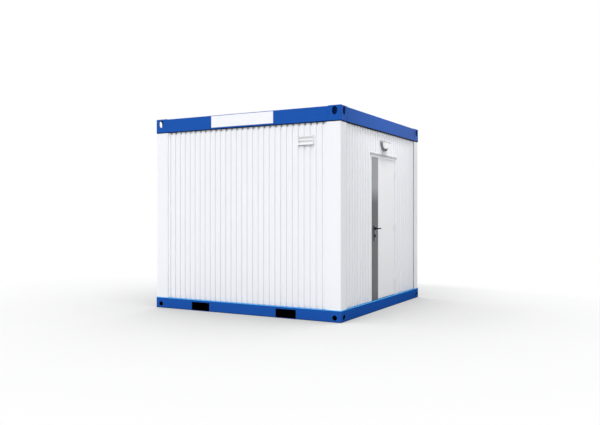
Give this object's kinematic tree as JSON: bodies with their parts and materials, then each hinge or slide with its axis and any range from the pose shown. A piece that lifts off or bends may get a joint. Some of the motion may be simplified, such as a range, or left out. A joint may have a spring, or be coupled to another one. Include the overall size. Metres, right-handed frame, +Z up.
{
  "type": "sanitary container",
  "caption": "Nearly square steel-framed sanitary cabin with ribbed white walls, blue base and roof frames, an outward door, a wall lamp, a louvred vent and forklift pockets.",
  "frame": {"origin": "on the ground, in the middle of the base frame's outline", "axes": "+X along the front towards the door side, +Y from the front to the back, +Z up"},
  "size_m": [3.036, 2.979, 2.748],
  "materials": {
    "frame_blue": "blue enamel",
    "pocket_black": "black primer",
    "wall_white": "white coil coating",
    "door_white": "white enamel",
    "steel": "brushed",
    "lever_black": "matt",
    "lamp_grey": "matt",
    "lamp_opal": "opal",
    "sign_white": "plain",
    "floor_grey": "vinyl",
    "galvanised": "galvanised"
  },
  "bodies": {
    "cabin": {"base_rail_front": "frame_blue", "base_rail_back": "frame_blue", "base_rail_door_side": "frame_blue", "base_rail_blind_side": "frame_blue", "base_corners": "frame_blue", "roof_rail_front": "frame_blue", "roof_rail_back": "frame_blue", "roof_rail_door_side": "frame_blue", "roof_rail_blind_side": "frame_blue", "roof_corners": "frame_blue", "forklift_tubes": "pocket_black", "front_wall": "wall_white", "back_wall": "wall_white", "blind_side_wall": "wall_white", "door_wall_lock_side": "wall_white", "door_wall_hinge_side": "wall_white", "door_wall_over": "wall_white", "ceiling_panel": "wall_white", "corner_post_front_blind": "wall_white", "corner_post_front_door": "wall_white", "corner_post_back_door": "wall_white", "corner_post_back_blind": "wall_white", "vent_frame": "wall_white", "vent_slats": "wall_white", "door_jamb_lock_side": "door_white", "door_jamb_hinge_side": "door_white", "door_head": "door_white", "door_hinges_frame": "door_white", "door_drip_cap": "door_white", "door_sill": "steel", "lamp_housing": "lamp_grey", "lamp_sensor": "lamp_grey", "lamp_bowl": "lamp_opal", "sign_plate": "sign_white", "floor_deck": "floor_grey", "roof_sheet": "galvanised", "underside_sheets": "galvanised"},
    "door": {"door_leaf": "door_white", "door_lock_plate": "steel", "door_hinges_leaf": "door_white", "handle_plate_outside": "steel", "handle_plate_inside": "steel", "lock_cylinder": "steel"},
    "lever": {"lever_outside": "lever_black", "lever_inside": "lever_black"}
  },
  "joints": [
    {"name": "door_swing", "type": "hinge", "parent": "cabin", "child": "door", "pos_m": [1.489, 0.447, 1.1625], "axis": [0, 0, 1], "range_deg": [0, 170]},
    {"name": "lever_turn", "type": "hinge", "parent": "door", "child": "lever", "pos_m": [1.457, -0.3445, 1.164], "axis": [-1, 0, 0], "range_deg": [0, 45], "stiffness_Nm_per_rad": 2, "springref_deg": -28.65}
  ]
}
